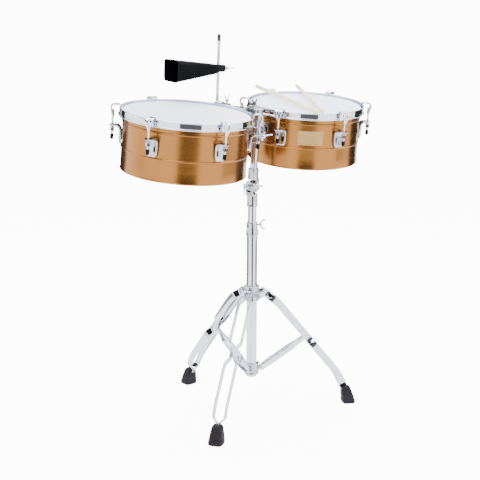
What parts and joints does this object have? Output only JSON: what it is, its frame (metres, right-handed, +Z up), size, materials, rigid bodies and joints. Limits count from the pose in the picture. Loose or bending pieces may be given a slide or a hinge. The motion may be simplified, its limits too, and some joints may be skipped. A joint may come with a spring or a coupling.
{
  "type": "timbales",
  "caption": "Pair of shallow metal-shelled drums of two sizes on a folding tripod stand, with a cowbell on a rod behind them and sticks resting on the smaller drum.",
  "frame": {"origin": "on the column's axis, at floor level", "axes": "+X along the pair of drums from the larger to the smaller, -Y towards the player, +Z up"},
  "size_m": [0.8289, 0.5316, 1.1269],
  "materials": {
    "chrome": "polished",
    "cast_chrome": "plated castings",
    "shell_metal": "polished and lacquered",
    "drum_head": "smooth white film",
    "black_plastic": "satin",
    "foot_rubber": "matt",
    "bell_paint": "satin black",
    "plate_metal": "satin",
    "stick_wood": "smooth",
    "dark_metal": "dark satin"
  },
  "bodies": {
    "stand": {"base_tube": "chrome", "lower_collar": "cast_chrome", "lower_pivot_bolts": "chrome", "height_clamp": "cast_chrome"},
    "sliding_collar": {"upper_collar": "cast_chrome", "collar_pivot_bolts": "chrome"},
    "collar_screw": {"collar_wing_bolt": "chrome"},
    "height_screw": {"height_wing_bolt": "chrome"},
    "column": {"upper_tube": "chrome"},
    "swivel": {"tilter_base": "cast_chrome", "tilter_pin": "chrome"},
    "tilt_head": {"tilter_head": "cast_chrome", "mount_post": "chrome", "centre_block": "cast_chrome", "top_clamp": "cast_chrome", "cowbell_arm": "chrome"},
    "tilter_screw": {"tilter_wing_bolt": "chrome"},
    "block_screw": {"block_wing_bolt": "chrome"},
    "top_screw": {"top_wing_bolt": "dark_metal"},
    "bell_arm_clamp": {"rod_clamp": "cast_chrome"},
    "rod_screw": {"rod_wing_bolt": "chrome"},
    "knob_screw": {"rod_knob": "black_plastic"},
    "bell_rod": {"cowbell_rod": "chrome"},
    "bell": {"cowbell": "bell_paint", "bell_clamp": "black_plastic"},
    "bell_screw": {"bell_wing_bolt": "chrome"},
    "drum_14": {"shell_14": "shell_metal", "head_14": "drum_head", "hoop_14": "chrome", "lug_brackets_14": "cast_chrome", "tension_claws_14": "chrome", "tuning_nuts_14": "chrome", "rod_caps_14": "black_plastic", "drum_mount_14": "cast_chrome"},
    "drum_13": {"shell_13": "shell_metal", "head_13": "drum_head", "hoop_13": "chrome", "lug_brackets_13": "cast_chrome", "tension_claws_13": "chrome", "tuning_nuts_13": "chrome", "rod_caps_13": "black_plastic", "drum_mount_13": "cast_chrome", "badge": "plate_metal"},
    "stick_a": {"stick_1": "stick_wood"},
    "stick_b": {"stick_2": "stick_wood"},
    "leg_front": {"leg_front": "chrome", "leg_rivets_front": "chrome", "foot_front": "foot_rubber"},
    "brace_front": {"brace_front": "chrome"},
    "leg_right": {"leg_right": "chrome", "leg_rivets_right": "chrome", "foot_right": "foot_rubber"},
    "brace_right": {"brace_right": "chrome"},
    "leg_left": {"leg_left": "chrome", "leg_rivets_left": "chrome", "foot_left": "foot_rubber"},
    "brace_left": {"brace_left": "chrome"}
  },
  "joints": [
    {"name": "collar_slide", "type": "slide", "parent": "stand", "child": "sliding_collar", "axis": [0, 0, 1], "range_m": [0, 0.118]},
    {"name": "leg_fold_front", "type": "hinge", "parent": "sliding_collar", "child": "leg_front", "pos_m": [-0.02868, -0.01827, 0.37], "axis": [0.5373, -0.8434, 0], "range_deg": [0, 31.06]},
    {"name": "brace_fold_front", "type": "hinge", "parent": "stand", "child": "brace_front", "pos_m": [-0.0253, -0.01612, 0.131], "axis": [-0.5373, 0.8434, 0], "range_deg": [0, 40.95]},
    {"name": "leg_fold_right", "type": "hinge", "parent": "sliding_collar", "child": "leg_right", "pos_m": [0.03016, -0.0157, 0.37], "axis": [0.4618, 0.887, 0], "range_deg": [0, 31.06]},
    {"name": "brace_fold_right", "type": "hinge", "parent": "stand", "child": "brace_right", "pos_m": [0.02661, -0.01385, 0.131], "axis": [-0.4618, -0.887, 0], "range_deg": [0, 40.95]},
    {"name": "leg_fold_left", "type": "hinge", "parent": "sliding_collar", "child": "leg_left", "pos_m": [-0.00148, 0.03397, 0.37], "axis": [-0.999, -0.0436, 0], "range_deg": [0, 31.06]},
    {"name": "brace_fold_left", "type": "hinge", "parent": "stand", "child": "brace_left", "pos_m": [-0.00131, 0.02997, 0.131], "axis": [0.999, 0.0436, 0], "range_deg": [0, 40.95]},
    {"name": "collar_screw_turn", "type": "hinge", "parent": "sliding_collar", "child": "collar_screw", "pos_m": [0.00074, -0.01698, 0.362], "axis": [0.0436, -0.999, 0], "continuous": true},
    {"name": "height_screw_turn", "type": "hinge", "parent": "stand", "child": "height_screw", "pos_m": [0.0151, 0.01865, 0.571], "axis": [0.7771, -0.6293, 0], "continuous": true},
    {"name": "height_slide", "type": "slide", "parent": "stand", "child": "column", "axis": [0, 0, 1], "range_m": [-0.04, 0.18]},
    {"name": "column_swivel", "type": "hinge", "parent": "column", "child": "swivel", "pos_m": [0, 0, 0.64], "axis": [0, 0, 1], "continuous": true},
    {"name": "tilter_tilt", "type": "hinge", "parent": "swivel", "child": "tilt_head", "pos_m": [0, 0, 0.69], "axis": [1, 0, 0], "range_deg": [-15, 20]},
    {"name": "tilter_screw_turn", "type": "hinge", "parent": "swivel", "child": "tilter_screw", "pos_m": [-0.012, -0.03, 0.693], "axis": [0, -1, 0], "continuous": true},
    {"name": "block_screw_turn", "type": "hinge", "parent": "tilt_head", "child": "block_screw", "pos_m": [0, -0.03576, 0.84418], "axis": [0, -0.9949, -0.1011], "continuous": true},
    {"name": "top_screw_turn", "type": "hinge", "parent": "tilt_head", "child": "top_screw", "pos_m": [0, -0.008, 0.93], "axis": [0, 0, 1], "continuous": true},
    {"name": "bell_arm_turn", "type": "hinge", "parent": "tilt_head", "child": "bell_arm_clamp", "pos_m": [0, 0.132, 0.914], "axis": [0, 1, 0], "range_deg": [-5, 5]},
    {"name": "rod_screw_turn", "type": "hinge", "parent": "bell_arm_clamp", "child": "rod_screw", "pos_m": [0, 0.122, 0.925], "axis": [0, 0, 1], "continuous": true},
    {"name": "knob_screw_turn", "type": "hinge", "parent": "bell_arm_clamp", "child": "knob_screw", "pos_m": [0, 0.182, 0.913], "axis": [0, 1, 0], "continuous": true},
    {"name": "bell_rod_slide", "type": "slide", "parent": "bell_arm_clamp", "child": "bell_rod", "axis": [0, -0.0506, 0.9987], "range_m": [-0.02, 0.01]},
    {"name": "bell_swing", "type": "hinge", "parent": "bell_rod", "child": "bell", "pos_m": [0, 0.16539, 1.02487], "axis": [0, -0.0506, 0.9987], "range_deg": [-60, 60]},
    {"name": "bell_screw_turn", "type": "hinge", "parent": "bell", "child": "bell_screw", "pos_m": [0.02, 0.16539, 1.02487], "axis": [1, 0, 0], "continuous": true},
    {"name": "drum_14_tilt", "type": "hinge", "parent": "tilt_head", "child": "drum_14", "pos_m": [-0.0356, 0.01758, 0.84966], "axis": [0.9998, 0.0021, -0.0208], "range_deg": [-9, 9]},
    {"name": "drum_13_tilt", "type": "hinge", "parent": "tilt_head", "child": "drum_13", "pos_m": [0.03369, 0.01756, 0.84989], "axis": [0.9998, -0.0021, 0.0208], "range_deg": [-9, 9]},
    {"name": "stick_a_lift", "type": "slide", "parent": "drum_13", "child": "stick_a", "axis": [0, 0, 1], "range_m": [0, 0.3]},
    {"name": "stick_b_lift", "type": "slide", "parent": "drum_13", "child": "stick_b", "axis": [0, 0, 1], "range_m": [0, 0.3]}
  ],
  "couplings": [
    {"joint": "leg_fold_front", "follows": "collar_slide", "rad_per_m": 4.5498},
    {"joint": "brace_fold_front", "follows": "collar_slide", "rad_per_m": 6.0123},
    {"joint": "leg_fold_right", "follows": "collar_slide", "rad_per_m": 4.5498},
    {"joint": "brace_fold_right", "follows": "collar_slide", "rad_per_m": 6.0123},
    {"joint": "leg_fold_left", "follows": "collar_slide", "rad_per_m": 4.5498},
    {"joint": "brace_fold_left", "follows": "collar_slide", "rad_per_m": 6.0123}
  ]
}
